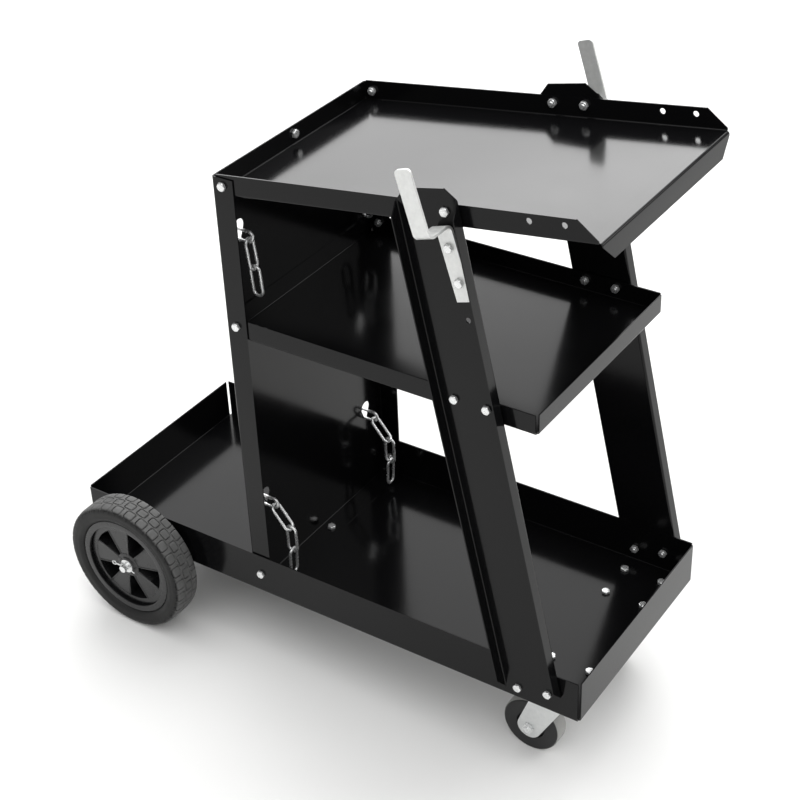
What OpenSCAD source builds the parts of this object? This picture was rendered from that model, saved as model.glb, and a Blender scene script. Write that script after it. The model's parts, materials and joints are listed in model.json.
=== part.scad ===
// Three tier welding cart of folded black sheet steel.
// It carries a gas bottle behind the rear panel and a welder on the tilted top tray.
// X points to the front (swivel casters), Y to the left side, Z up.
// The origin is on the ground under the middle of the whole cart.
// Inside the frame the pieces are drawn in tray coordinates: X from the outer rear face of
// the bottom tray, Y from the middle plane, Z from the underside of the bottom tray.

/* [Sheet metal] */
// Thickness of the folded sheet
sheet_t = 1.5; // [1:0.1:2]
// Inside radius of every fold
fold_r = 1.5; // [1:0.1:2.5]
// Clearance between sheets that stand inside one another
sheet_gap = 0.3; // [0.1:0.1:0.6]
// Width of the open seam at a tray corner
seam_gap = 1.2; // [0.6:0.1:2]

/* [Trays] */
// Outer width of the top and middle trays
tray_w = 305; // [270:1:340]
// Outer length of the bottom tray
bottom_l = 773; // [720:1:840]
// Height of the bottom tray walls
bottom_wall = 60; // [50:1:70]
// Height of the top and middle tray walls
wall_h = 26; // [22:1:32]
// Outer length of the middle tray
middle_l = 424; // [390:1:450]
// Height of the underside of the middle tray
middle_z = 394; // [340:1:430]
// Length of the top tray along its slope
top_l = 498; // [460:1:530]
// Slope of the top tray against the other trays in degrees
top_slope = 7.6; // [4:0.1:11]
// Depth of the turned down front lip of the top tray
lip_h = 25; // [18:1:32]
// Distance of the first free hole in the top tray walls from the front
free_hole_back = 81; // [70:1:100]
// Distance between the two free holes of a wall
free_hole_pitch = 41; // [30:1:50]

/* [Rear panel] */
// Distance from the rear of the bottom tray to the back of the panel
panel_x = 284; // [250:1:310]
// Height of the top edge of the panel
panel_top = 606; // [570:1:640]
// Width of the folded side and bottom flanges
flange_w = 30; // [24:1:36]
// Height of the upper keyholes
key_upper_z = 524; // [480:1:545]
// Height of the lower keyholes
key_lower_z = 131; // [128:1:160]
// Distance of the keyholes from the middle plane
key_y = 116; // [95:1:120]
// Diameter of the round end of a keyhole
key_d = 19; // [18:0.5:24]
// Width of the narrow end of a keyhole
key_slot_w = 5.5; // [5:0.1:7]
// Distance of the narrow end under the round one
key_slot_h = 17; // [16:0.5:20]

/* [Legs] */
// Width of a leg across its web
leg_w = 80; // [70:1:90]
// Depth of the leg flanges that point outwards
leg_flange = 16; // [12:1:22]
// Distance of the foot of a leg from the rear of the bottom tray
leg_foot_x = 710; // [680:1:730]
// Lean of the legs towards the rear in degrees
leg_lean = 12.2; // [8:0.1:14]
// Height of the lower leg bolts above the tray underside
leg_foot_z = 24; // [20:1:30]
// Distance between the two bolts of a pair
bolt_pitch = 42; // [36:1:46]
// Length of a leg beyond its upper bolts
leg_over_top = 24; // [20:1:28]
// Length of a leg beyond its lower bolts
leg_over_foot = 15; // [12:1:20]
// Chamfer at the corners of the leg ends
leg_chamfer = 15; // [8:1:18]
// Distance of the free leg hole below the hook
spare_gap = 23; // [18:1:30]

/* [Cable hooks] */
// Width of the flat bar
hook_w = 20; // [16:1:24]
// Thickness of the flat bar
hook_t = 3; // [2:0.5:4]
// Length of the bolted shank
hook_shank = 90; // [84:1:100]
// Reach of the hook away from the leg
hook_reach = 42; // [35:1:60]
// Height of the upright end
hook_h = 80; // [70:1:110]
// Inside radius of the two bends
hook_r = 6; // [4:0.5:9]
// Distance of the shank's bend below the upper leg bolts
hook_drop = 15; // [12:1:24]
// Distance of the shank's bend from the middle of the leg
hook_across = 16; // [10:0.5:22]
// Lean of the hook against its leg in degrees
hook_lean = 5; // [0:0.5:8]

/* [Rear wheels] */
// Diameter of the rear wheels
wheel_d = 192; // [175:1:200]
// Width of the tyres
tyre_w = 45; // [40:1:50]
// Diameter of the rim where the tyre seats
rim_d = 146; // [130:1:150]
// Wall of the rim's barrel and lips
rim_wall = 3; // [2.5:0.1:4]
// Depth of the rim's lips behind the faces of the tyre
lip_recess = 4; // [2:0.5:6]
// Thickness of the spokes
web_t = 5; // [4:0.5:7]
// Depth of the spokes' faces behind the outer face of the tyre
web_recess = 10; // [8:0.5:14]
// Number of windows in a rim
windows = 5; // [4:1:6]
// Turn of the windows about the axle in degrees
window_turn = -3.5; // [-36:0.5:36]
// Distance of the tyre from the inner end of the hub
hub_lead = 2; // [1:0.5:4]
// Depth of the outer end of the hub behind the outer face of the tyre
hub_recess = 8; // [6:0.5:12]
// Wall of the hub around the axle
hub_wall = 7; // [5:0.5:9]
// Gap between the tray wall and the wheel hub
hub_gap = 7; // [3:0.5:10]
// Diameter of the axle
axle_d = 10; // [8:0.5:11]
// Distance of the axle from the rear of the bottom tray
axle_x = 100; // [96:1:130]
// Depth of the axle centre under the tray
axle_drop = 7; // [6.5:0.5:14]
// Length of the axle beyond its cotter pins
axle_over = 5; // [4:0.5:8]
// Thickness of the axle washers
washer_t = 1.5; // [1:0.1:2.5]
// Diameter of the cotter pins
pin_d = 3; // [2:0.1:3.2]
// Length of the cotter pins
pin_l = 32; // [26:1:36]
// Length of an axle bracket
bracket_l = 60; // [50:1:80]
// Wall of an axle bracket around the axle
bracket_wall = 7; // [5:0.5:10]
// Width of an axle bracket's foot under the tray
bracket_w = 30; // [24:1:36]

/* [Casters] */
// Diameter of the caster wheels
caster_d = 79; // [70:1:84]
// Width of the caster wheels
caster_w = 24; // [20:1:30]
// Edge radius of the caster wheels
caster_edge = 3; // [2:0.5:5]
// Overall height of a caster
caster_h = 126; // [122:1:134]
// Distance of the caster wheel axle behind the swivel axis
caster_trail = 34.5; // [28:0.5:38]
// Distance of the swivel axes from the rear of the bottom tray
caster_x = 716; // [690:1:725]
// Distance of the swivel axes from the middle plane
caster_y = 100; // [85:1:105]
// Side of the square bolt pattern of a caster
caster_pitch = 54; // [50:1:58]
// Side of the square caster plate
caster_plate = 72; // [68:1:78]
// Thickness of the caster plate
plate_t = 2.5; // [2:0.1:3.5]
// Corner radius of the caster plate
plate_r = 5; // [3:0.5:8]
// Thickness of the fork
fork_t = 2.5; // [2:0.1:3.5]
// Radius of the fork around the axle
cheek_r = 16.5; // [14:0.5:18]
// Width of the fork's crown outside the bearing ring
crown_rim = 4; // [1:0.5:5]
// Gap between the caster wheel's tread and each cheek of the fork
cheek_gap = 1.6; // [1.2:0.1:3]
// Diameter of the caster axle bolt
caster_axle_d = 8; // [6:0.5:10]
// Diameter of the kingpin rivet
king_d = 8; // [7:0.5:10]
// Height of the kingpin's head
king_head = 3; // [2:0.5:5]
// Diameter of the bearing balls
ball_d = 4; // [3:0.5:5]
// Number of bearing balls in a caster
balls = 12; // [8:1:14]

/* [Chains] */
// Diameter of the chain wire
wire_d = 4; // [3:0.1:4.5]
// Inside length of a link
link_l = 36; // [35:0.5:38]
// Outer width of a link
link_w = 18; // [16:0.5:18]
// Number of links in the upper loop
upper_links = 11; // [7:2:13]
// Number of links in the lower loop
lower_links = 9; // [7:2:9]
// Angle of each link in an upper tail against the plumb line
upper_tail_angles = [10, 7]; // [0:1:45]
// Angle of each link in a lower tail against the plumb line
lower_tail_angles = [42, 3, 0]; // [0:1:45]
// Clearance between two links that hang in one another
link_gap = 0.4; // [0.3:0.05:0.6]

/* [Fasteners] */
// Thread diameter of the bolts
bolt_d = 6; // [5:0.5:6.5]
// Width across the flats of the caster axle's nuts
caster_nut_af = 13; // [11:0.5:14]
// Width across the flats of heads and nuts
bolt_af = 10; // [8:0.5:11]
// Height of a bolt head
head_h = 4; // [3:0.1:5]
// Height of a nut
nut_h = 5; // [4:0.1:6]
// Length of a bolt beyond its nut
bolt_over = 1.5; // [0.5:0.5:4]
// Diameter of the holes for the bolts
hole_d = 6.6; // [6.6:0.1:7.5]
// Diameter of the two free holes in each top tray wall
free_hole_d = 7; // [6:0.1:9]

/* [Hidden] */
$fn = 48;

// Overrun of every cut past the faces that it opens
over = 1;
// Clearance of a shaft in its hole, on the radius
run_gap = 0.05;
// Length by which a fold runs into the sheet beside it
lap = 0.3;
// Clearance between bodies that slide face to face
side_gap = 0.3;
// Clearance between pieces that are bolted or pressed together
seat_gap = 0.1;

// Widths that follow from the trays
panel_w = tray_w + 2 * (sheet_gap + sheet_t);
bottom_w = panel_w + 2 * (sheet_gap + sheet_t);
panel_front = panel_x + sheet_t;

// Places of the bolts
// Heights of the bolts as shares of a wall's height
middle_bolt_share = 0.62;
panel_bolt_share = 0.38;
top_wall_share = 0.33;
free_hole_share = 0.68;
middle_bolt_z = middle_z + middle_bolt_share * wall_h;
panel_bolt_x = panel_x + flange_w / 2;
panel_bolt_z = panel_top - panel_bolt_share * wall_h;
panel_foot_z = bottom_wall / 2;

// Top tray: its floor starts at the panel, under a rear wall as high as the sides
top_z = panel_top + sheet_t - wall_h;
function top_floor(x) = top_z + (x - panel_front) * tan(top_slope);

// Leg axis as a line through the foot, leaning to the rear
function leg_x(z) = leg_foot_x - (z - leg_foot_z) * tan(leg_lean);
leg_top_x = (leg_foot_x + (leg_foot_z + panel_front * tan(top_slope) - top_z - wall_h * (1 - top_wall_share))
  * tan(leg_lean)) / (1 + tan(leg_lean) * tan(top_slope));
leg_top_z = top_floor(leg_top_x) + wall_h * (1 - top_wall_share);
leg_l = (leg_top_z - leg_foot_z) / cos(leg_lean);
// The legs touch the bottom tray below and the narrower top tray above
leg_tilt = asin((bottom_w - tray_w) / 2 / leg_l);
leg_y = bottom_w / 2 + sheet_gap;
// Distance of a leg's inner face from the middle plane at a height
function leg_in(z) = leg_y - (z - leg_foot_z) * tan(leg_tilt) / cos(leg_lean);

// The cart stands nose up on its wheels: height of the wheel centres and the lean angle
caster_axle_x = caster_x - caster_trail;
caster_axle_z = caster_d / 2 - caster_h;
run_x = caster_axle_x - axle_x;
run_z = caster_axle_z + axle_drop;
run = sqrt(run_x * run_x + run_z * run_z);
lean = asin((caster_d - wheel_d) / 2 / run) - atan2(run_z, run_x);
ground = wheel_d / 2 - axle_x * sin(lean) + axle_drop * cos(lean);
middle_x = (bottom_l * cos(lean) - bottom_wall * sin(lean)) / 2;

// Rear wheel places across the cart
hub_in = bottom_w / 2 + hub_gap;
hub_l = hub_lead + tyre_w - hub_recess;
hub_out = hub_in + hub_l;
cotter_y = hub_out + washer_t + 3 * side_gap + pin_d / 2;
axle_end = cotter_y + pin_d / 2 + axle_over;

// Chain
pitch = link_l - link_gap;
link_half = (link_l + wire_d) / 2;

// From tray coordinates to the standing cart
module standing()
{
  translate([-middle_x, 0, ground])
    rotate([0, -lean, 0])
      children();
}

// The right half as drawn, or mirrored to the left side
module on_side(side)
{
  if (side < 0) children();
  else mirror([0, 1, 0]) children();
}

module black() { color([0.07, 0.07, 0.075]) children(); }
module zinc() { color([0.78, 0.79, 0.78]) children(); }

// Cross-section of a fold: outer wall face on X = 0, floor underside on Y = 0
module fold_profile(h)
{
  bend = sheet_t + fold_r;
  intersection()
  {
    translate([-bend, bend])
      difference()
      {
        circle(r = bend);
        circle(r = fold_r);
      }
    translate([-bend, 0])
      square([bend, bend]);
  }
  translate([-sheet_t, bend])
    square([sheet_t, h - bend]);
  translate([-bend - lap, 0])
    square([2 * lap, sheet_t]);
}

// A folded wall along +X whose outer face is on the -Y side
module fold_wall(length, h)
{
  rotate([90, 0, 90])
    linear_extrude(length)
      mirror([1, 0])
        fold_profile(h);
}

module hole(d, length)
{
  cylinder(d = d, h = length, center = true);
}

// A bolt hole along Y
module side_hole(x, z, y, d = hole_d)
{
  translate([x, y, z])
    rotate([90, 0, 0])
      hole(d, 8 * sheet_t);
}

// Keyhole along X: a drop whose round end is above its narrow one
module keyhole()
{
  rotate([0, 90, 0])
    linear_extrude(4 * sheet_t, center = true)
      hull()
      {
        circle(d = key_d);
        translate([key_slot_h, 0])
          circle(d = key_slot_w);
      }
}

// The six leg bolt places of the right side, as [x, z]
leg_bolts = [
  for (u = [-1, 1] * bolt_pitch / 2)
    each [
      [leg_top_x + u * cos(top_slope), leg_top_z + u * sin(top_slope)],
      [leg_x(middle_bolt_z) + u, middle_bolt_z],
      [leg_foot_x + u * cos(leg_lean), leg_foot_z + u * sin(leg_lean)]
    ]
];

// Along the leg axis from the upper bolts down, across from the middle
function on_leg(down, across) = [
  leg_top_x + down * sin(leg_lean) + across * cos(leg_lean),
  leg_top_z - down * cos(leg_lean) + across * sin(leg_lean)
];

// Along the hook's shank from its bend down
function on_hook(down) = on_leg(hook_drop + down * cos(hook_lean), hook_across + down * sin(hook_lean));

// Places of the hook's bolts as shares of its shank, and the free hole below
hook_bolt_shares = [0.3, 0.75];
hook_bolt_places = [for (share = hook_bolt_shares) on_hook(hook_shank * share)];
spare_place = on_leg(hook_drop + hook_shank + spare_gap, bolt_pitch / 2);

module leg_bolt_holes(list, y)
{
  for (p = list) side_hole(p[0], p[1], y);
}

top_pair = [leg_bolts[0], leg_bolts[3]];
middle_pair = [leg_bolts[1], leg_bolts[4]];
foot_pair = [leg_bolts[2], leg_bolts[5]];

module bottom_tray()
{
  bend = sheet_t + fold_r;
  black()
    standing()
      difference()
      {
        union()
        {
          translate([bend, -bottom_w / 2 + bend, 0])
            cube([bottom_l - 2 * bend, bottom_w - 2 * bend, sheet_t]);
          for (side = [-1, 1])
            on_side(side)
              translate([bend, -bottom_w / 2, 0])
                fold_wall(bottom_l - 2 * bend, bottom_wall);
          end_w = bottom_w - 2 * bend - 2 * seam_gap;
          translate([bottom_l, -end_w / 2, 0])
            rotate([0, 0, 90])
              fold_wall(end_w, bottom_wall);
          translate([0, end_w / 2, 0])
            rotate([0, 0, -90])
              fold_wall(end_w, bottom_wall);
        }
        for (side = [-1, 1])
        {
          leg_bolt_holes(foot_pair, side * bottom_w / 2);
          side_hole(panel_bolt_x, panel_foot_z, side * bottom_w / 2);
          caster_holes(side, 0);
        }
        translate([panel_front + flange_w / 2, 0, 0])
          hole(hole_d, 8 * sheet_t);
      }
}

module caster_holes(side, z)
{
  for (i = [-1, 1], j = [-1, 1])
    translate([caster_x + i * caster_pitch / 2, side * caster_y + j * caster_pitch / 2, z])
      hole(hole_d, 8 * sheet_t);
}

module rear_panel()
{
  bend = sheet_t + fold_r;
  low = sheet_t;
  high = panel_top;
  black()
    standing()
      difference()
      {
        union()
        {
          translate([panel_x, -panel_w / 2 + bend, low + bend])
            cube([sheet_t, panel_w - 2 * bend, high - low - bend]);
          for (side = [-1, 1])
            on_side(side)
              translate([panel_x, -panel_w / 2, high])
                rotate([0, 90, 0])
                  fold_wall(high - low - bend, flange_w);
          foot_w = panel_w - 2 * bend - 2 * seam_gap;
          translate([panel_x, foot_w / 2, low])
            rotate([90, 0, 0])
              linear_extrude(foot_w)
                rotate(-90)
                  fold_profile(flange_w);
        }
        for (z = [key_upper_z, key_lower_z], side = [-1, 1])
          translate([panel_x, side * key_y, z])
            keyhole();
        for (side = [-1, 1], z = [panel_bolt_z, middle_bolt_z, panel_foot_z])
          side_hole(panel_bolt_x, z, side * panel_w / 2);
        translate([panel_x, 0, panel_bolt_z])
          rotate([0, 90, 0])
            hole(hole_d, 8 * sheet_t);
        translate([panel_front + flange_w / 2, 0, low])
          hole(hole_d, 8 * sheet_t);
      }
}

module middle_tray()
{
  bend = sheet_t + fold_r;
  black()
    standing()
      difference()
      {
        translate([panel_front + sheet_gap, 0, middle_z])
          union()
          {
            translate([bend, -tray_w / 2 + bend, 0])
              cube([middle_l - 2 * bend, tray_w - 2 * bend, sheet_t]);
            for (side = [-1, 1])
              on_side(side)
                translate([bend, -tray_w / 2, 0])
                  fold_wall(middle_l - 2 * bend, wall_h);
            end_w = tray_w - 2 * bend - 2 * seam_gap;
            translate([middle_l, -end_w / 2, 0])
              rotate([0, 0, 90])
                fold_wall(end_w, wall_h);
            translate([0, end_w / 2, 0])
              rotate([0, 0, -90])
                fold_wall(end_w, wall_h);
          }
        for (side = [-1, 1])
        {
          leg_bolt_holes(middle_pair, side * tray_w / 2);
          side_hole(panel_bolt_x, middle_bolt_z, side * tray_w / 2);
        }
      }
}

// Free holes near the front of each top tray wall, as distances along the wall
free_holes = [top_l - free_hole_back, top_l - free_hole_back + free_hole_pitch];
free_hole_up = wall_h * free_hole_share;

module top_tray()
{
  bend = sheet_t + fold_r;
  rear_x = panel_front + sheet_gap;
  black()
    standing()
      difference()
      {
        union()
        {
          // Floor, side walls and lip follow the slope
          translate([rear_x, 0, top_z])
            rotate([0, -top_slope, 0])
              difference()
              {
                union()
                {
                  translate([0, -tray_w / 2 + bend, 0])
                    cube([top_l - bend, tray_w - 2 * bend, sheet_t]);
                  for (side = [-1, 1])
                    on_side(side)
                      translate([0, -tray_w / 2, 0])
                        fold_wall(top_l - bend, wall_h);
                  top_lip();
                }
                for (side = [-1, 1])
                  translate([top_l - bend, side * tray_w / 2, bend])
                    rotate([90, 0, 0])
                      linear_extrude(4 * sheet_t, center = true)
                        polygon([
                          [-wall_h, wall_h], [over, 0], [over, wall_h + over], [-wall_h, wall_h + over]
                        ]);
                for (side = [-1, 1], x = free_holes)
                  side_hole(x, free_hole_up, side * tray_w / 2, free_hole_d);
                // The rear end is cut square to the panel
                rotate([0, top_slope, 0])
                  translate([-2 * wall_h, -tray_w, -2 * wall_h])
                    cube([2 * wall_h + bend, 2 * tray_w, 4 * wall_h]);
              }
          // Rear wall stands flat on the panel
          end_w = tray_w - 2 * bend - 2 * seam_gap;
          translate([rear_x, end_w / 2, top_floor(panel_front)])
            rotate([0, 0, -90])
              fold_wall(end_w, wall_h);
        }
        for (side = [-1, 1])
        {
          leg_bolt_holes(top_pair, side * tray_w / 2);
          side_hole(panel_bolt_x, panel_bolt_z, side * tray_w / 2);
        }
        translate([panel_x, 0, panel_bolt_z])
          rotate([0, 90, 0])
            hole(hole_d, 10 * sheet_t);
      }
}

// Lip turned down at the front of the top tray, its ends cut at 45 degrees
module top_lip()
{
  bend = sheet_t + fold_r;
  lip_w = tray_w - 2 * bend;
  translate([top_l, 0, sheet_t])
    difference()
    {
      translate([0, -lip_w / 2, 0])
        mirror([0, 0, 1])
          rotate([0, 0, 90])
            fold_wall(lip_w, lip_h);
      for (side = [-1, 1])
        translate([0, side * (lip_w / 2 + over), -bend - over])
          rotate([0, 90, 0])
            linear_extrude(8 * sheet_t, center = true)
              polygon([[-over, 0], [lip_h + over, 0], [lip_h + over, -side * (lip_h + 2 * over)], [0, 0]]);
    }
}

// Leg: a channel with its web on the trays and its flanges outwards
module leg(side)
{
  length = leg_l + leg_over_top + leg_over_foot;
  black()
    standing()
      on_side(side)
        difference()
        {
          translate([leg_foot_x, -leg_y, leg_foot_z])
            rotate([-leg_tilt, -leg_lean, 0])
              translate([0, 0, -leg_over_foot])
                leg_channel(length);
          leg_bolt_holes(leg_bolts, -leg_y);
          leg_bolt_holes(concat(hook_bolt_places, [spare_place]), -leg_y);
        }
}

// The channel stands on Z = 0 with the inner face of its web on Y = 0
module leg_channel(length)
{
  bend = sheet_t + fold_r;
  half = leg_w / 2;
  difference()
  {
    union()
    {
      translate([-half + bend, -sheet_t, 0])
        cube([leg_w - 2 * bend, sheet_t, length]);
      for (m = [0, 1])
        mirror([m, 0, 0])
          linear_extrude(length)
            translate([half, 0])
              rotate([0, 0, 180])
                mirror([1, 0])
                  fold_profile(leg_flange);
    }
    // Chamfered web corners
    for (m = [0, 1], e = [0, 1])
      mirror([m, 0, 0])
        translate([0, -bend - over, e * length])
          mirror([0, 0, e])
            rotate([90, 0, 0])
              linear_extrude(2 * (bend + over), center = true)
                polygon([
                  [half - leg_chamfer, -over], [half + over, -over],
                  [half + over, leg_chamfer], [half, leg_chamfer], [half - leg_chamfer, 0]
                ]);
    // Flange ends fall away outwards
    for (e = [0, 1])
      translate([0, 0, e * length])
        mirror([0, 0, e])
          rotate([90, 0, 90])
            linear_extrude(leg_w + 2 * over, center = true)
              polygon([
                [-bend, -over], [-leg_flange - over, -over],
                [-leg_flange - over, leg_chamfer + leg_flange], [-bend, leg_chamfer]
              ]);
  }
}

// Cable hook: flat bar bent out and up
module cable_hook(side)
{
  zinc()
    standing()
      on_side(side)
        difference()
        {
          translate([leg_foot_x, -leg_y, leg_foot_z])
            rotate([-leg_tilt, -leg_lean, 0])
              translate([hook_across, -sheet_t, leg_l - hook_drop])
                rotate([0, -hook_lean, 0])
                  hook_bar();
          leg_bolt_holes(hook_bolt_places, -leg_y - hook_t);
        }
}

// The bar's shank hangs down from Z = 0 with its back on Y = 0
module hook_bar()
{
  bend = hook_r + hook_t;
  reach = hook_reach;
  rotate([90, 0, 90])
    linear_extrude(hook_w, center = true)
    {
      translate([-hook_t, -hook_shank])
        square([hook_t, hook_shank - bend]);
      translate([-bend, -bend])
        quarter(0);
      translate([-reach + bend, -hook_t])
        square([reach - 2 * bend, hook_t]);
      translate([-reach + bend, bend - hook_t])
        quarter(180);
      translate([-reach, bend - hook_t])
        square([hook_t, hook_h - bend - hook_w / 4]);
    }
  // Rounded tip
  translate([0, -reach, hook_h - hook_t - hook_w / 4])
    rotate([-90, 0, 0])
      linear_extrude(hook_t)
      {
        translate([-hook_w / 4, -hook_w / 4])
          square([hook_w / 2, hook_w / 4]);
        for (s = [-1, 1])
          intersection()
          {
            translate([s * hook_w / 4, 0])
              circle(r = hook_w / 4);
            translate([s * hook_w / 4 - hook_w / 4, -hook_w / 4])
              square([hook_w / 2, hook_w / 4]);
          }
      }
}

// A quarter of the hook's bend, turned by an angle
module quarter(angle)
{
  bend = hook_r + hook_t;
  rotate(angle)
    intersection()
    {
      difference()
      {
        circle(r = bend);
        circle(r = hook_r);
      }
      square([bend, bend]);
    }
}

module rear_axle()
{
  zinc()
    standing()
      difference()
      {
        translate([axle_x, 0, -axle_drop])
          rotate([90, 0, 0])
            cylinder(d = axle_d, h = 2 * axle_end, center = true);
        for (side = [-1, 1])
          translate([axle_x, side * cotter_y, -axle_drop])
            rotate([0, 90, 0])
              hole(pin_d + 2 * run_gap, 2 * axle_d);
      }
}

// Axle bracket: an angle under the tray with a round eared lug
module axle_bracket(side)
{
  ear = axle_d / 2 + bracket_wall;
  y = bottom_w / 2 - bracket_w - sheet_t;
  black()
    standing()
      on_side(side)
        translate([axle_x, -y, 0])
          difference()
          {
            union()
            {
              translate([-bracket_l / 2, 0, -sheet_t])
                cube([bracket_l, bracket_w, sheet_t]);
              rotate([90, 0, 0])
                linear_extrude(2 * sheet_t)
                {
                  translate([0, -axle_drop])
                    circle(r = ear);
                  polygon([[-bracket_l / 2, 0], [bracket_l / 2, 0], [ear, -axle_drop], [-ear, -axle_drop]]);
                }
            }
            translate([-bracket_l, -bracket_l, 0])
              cube([2 * bracket_l, 2 * bracket_l, ear]);
            translate([0, 0, -axle_drop])
              rotate([90, 0, 0])
                hole(axle_d + 2 * run_gap, bracket_l);
          }
}

// Place of a rear wheel, its axis along Z and its outer face up
module at_rear_wheel(side)
{
  standing()
    on_side(side)
      translate([axle_x, -hub_in, -axle_drop])
        rotate([90, 0, 0])
          children();
}

// Rim: places along its axis from the inner end of the hub, and shares of its diameter
web_out = hub_lead + tyre_w - web_recess;
window_out_share = 0.377;
window_in_share = 0.1;
window_angle_share = 0.229;

module rear_rim(side)
{
  r = rim_d / 2;
  low = hub_lead + lip_recess;
  high = hub_lead + tyre_w - lip_recess;
  cup = low + rim_wall;
  color([0.13, 0.13, 0.135])
    at_rear_wheel(side)
      difference()
      {
        union()
        {
          rotate_extrude($fn = 96)
          {
            square([axle_d / 2 + hub_wall, hub_l]);
            translate([0, web_out - web_t])
              square([r - rim_wall / 2, web_t]);
            translate([r - rim_wall, low])
              square([rim_wall, high - low]);
            for (z = [low, high - rim_wall])
              translate([r - 3 * rim_wall, z])
                square([2.5 * rim_wall, rim_wall]);
          }
          // Each window is a deep cup, closed at its inner end
          at_windows()
            translate([0, 0, cup])
              linear_extrude(web_out - cup)
                intersection()
                {
                  window_shape(rim_wall);
                  circle(r = r - rim_wall / 2, $fn = 96);
                }
        }
        at_windows()
          translate([0, 0, cup + rim_wall])
            linear_extrude(web_out)
              window_shape(0);
        hole(axle_d + 2 * run_gap, 4 * hub_l);
      }
}

module at_windows()
{
  for (i = [0 : windows - 1])
    rotate(window_turn + i * 360 / windows)
      children();
}

// Wedge window of a rim, grown by a margin
module window_shape(grow)
{
  half = 360 / windows * window_angle_share;
  outer = rim_d * window_out_share + grow;
  tip = rim_d * window_in_share - 1.5 * grow;
  wide = rim_d * window_out_share * sin(half) + grow;
  flat = rim_d * window_out_share * cos(half) + grow / 2;
  polygon([
    [tip, -wide / 5], [tip, wide / 5],
    [flat, wide], [outer - wide / 12, wide / 2], [outer, 0],
    [outer - wide / 12, -wide / 2], [flat, -wide]
  ]);
}

module rear_tyre(side)
{
  r = wheel_d / 2;
  seat = rim_d / 2 + seat_gap;
  color([0.055, 0.055, 0.055])
    at_rear_wheel(side)
      translate([0, 0, hub_lead])
        rotate_extrude($fn = 96)
          tyre_profile(r, seat);
}

// Tyre sizes as shares of its width
shoulder_share = 0.16;
groove_share = 0.05;
groove_place_shares = [0.32, 0.5, 0.68];

// Tyre cross-section: round sidewalls, shoulders and three grooves in the tread
module tyre_profile(r, seat)
{
  shoulder = tyre_w * shoulder_share;
  groove = tyre_w * groove_share;
  difference()
  {
    union()
    {
      translate([seat, 0])
        square([r - seat - shoulder, tyre_w]);
      translate([seat, shoulder])
        square([r - seat, tyre_w - 2 * shoulder]);
      for (z = [shoulder, tyre_w - shoulder])
        translate([r - shoulder, z])
          circle(r = shoulder);
    }
    for (share = groove_place_shares)
      translate([r - groove, share * tyre_w - groove / 2])
        square([2 * groove, groove]);
  }
}

module ring(inner, outer, thick)
{
  difference()
  {
    cylinder(d = outer, h = thick);
    translate([0, 0, thick / 2])
      hole(inner, 3 * thick);
  }
}

washer_d = axle_d * 2;

module inner_axle_washers()
{
  zinc()
    for (side = [-1, 1])
      at_rear_wheel(side)
        translate([0, 0, -side_gap - washer_t])
          ring(axle_d + 2 * run_gap, washer_d, washer_t);
}

module axle_washer(side)
{
  zinc()
    at_rear_wheel(side)
      translate([0, 0, hub_l + side_gap])
        ring(axle_d + 2 * run_gap, washer_d, washer_t);
}

// Cotter pin: an eye, and its two legs as one round pin through the axle
module cotter_pin(side)
{
  eye = 1.1 * pin_d;
  zinc()
    standing()
      on_side(side)
        translate([axle_x, -cotter_y, -axle_drop])
          rotate([0, 90, 0])
          {
            cylinder(d = pin_d, h = pin_l, center = true);
            translate([0, 0, -pin_l / 2 - eye])
              rotate([0, 90, 0])
                rotate_extrude()
                  translate([eye, 0])
                    circle(d = 0.6 * pin_d);
          }
}

// Place of a caster: swivel axis along Z, tray underside on Z = 0, wheel behind
module at_caster(side)
{
  standing()
    translate([caster_x, side * caster_y, 0])
      children();
}

// Bearing ring: its diameter as a share of the plate, its depth as a share of a ball
race_share = 0.62;
race_depth_share = 0.6;
race_d = caster_plate * race_share;
race_drop = ball_d * race_depth_share;
track_r = race_d / 2 - 0.75 * ball_d;
fork_top = -plate_t - race_drop - side_gap;
fork_in = caster_w + 2 * cheek_gap;

module caster_plate_part(side)
{
  color([0.72, 0.73, 0.72])
    at_caster(side)
      difference()
      {
        union()
        {
          translate([0, 0, -plate_t / 2])
            rounded_plate(caster_plate, plate_t, plate_r);
          translate([0, 0, -plate_t - race_drop])
            difference()
            {
              cylinder(d = race_d, h = race_drop);
              translate([0, 0, -over])
                cylinder(d = race_d - 3 * ball_d, h = 2 * race_drop + over);
            }
        }
        caster_holes_local();
        hole(king_d + 2 * run_gap, 6 * plate_t);
        // Ball track in the lower face of the ring
        translate([0, 0, fork_top + side_gap / 2])
          rotate_extrude()
            translate([track_r, 0])
              circle(d = ball_d + 2 * side_gap);
      }
}

module caster_holes_local()
{
  for (i = [-1, 1], j = [-1, 1])
    translate([i * caster_pitch / 2, j * caster_pitch / 2, -plate_t / 2])
      hole(hole_d, 4 * plate_t);
}

module rounded_plate(size, thick, r)
{
  linear_extrude(thick, center = true)
  {
    square([size, size - 2 * r], center = true);
    square([size - 2 * r, size], center = true);
    for (i = [-1, 1], j = [-1, 1])
      translate([i * (size / 2 - r), j * (size / 2 - r)])
        circle(r = r);
  }
}

module caster_kingpin(side)
{
  zinc()
    at_caster(side)
    {
      translate([0, 0, fork_top - fork_t - side_gap])
        cylinder(d = king_d, h = -fork_top + fork_t + side_gap);
      translate([0, 0, fork_top - fork_t - side_gap - king_head])
        cylinder(d1 = 1.5 * king_d, d2 = 2 * king_d, h = king_head);
    }
}

module caster_balls(side)
{
  color([0.6, 0.6, 0.6])
    at_caster(side)
      for (i = [0 : balls - 1])
        rotate(i * 360 / balls)
          translate([track_r, 0, fork_top + side_gap / 2])
            sphere(d = ball_d - side_gap);
}

// Width and depth of a cheek's shoulder as shares of the head's radius
cheek_top_share = 0.95;
cheek_depth_share = 0.35;

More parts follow.
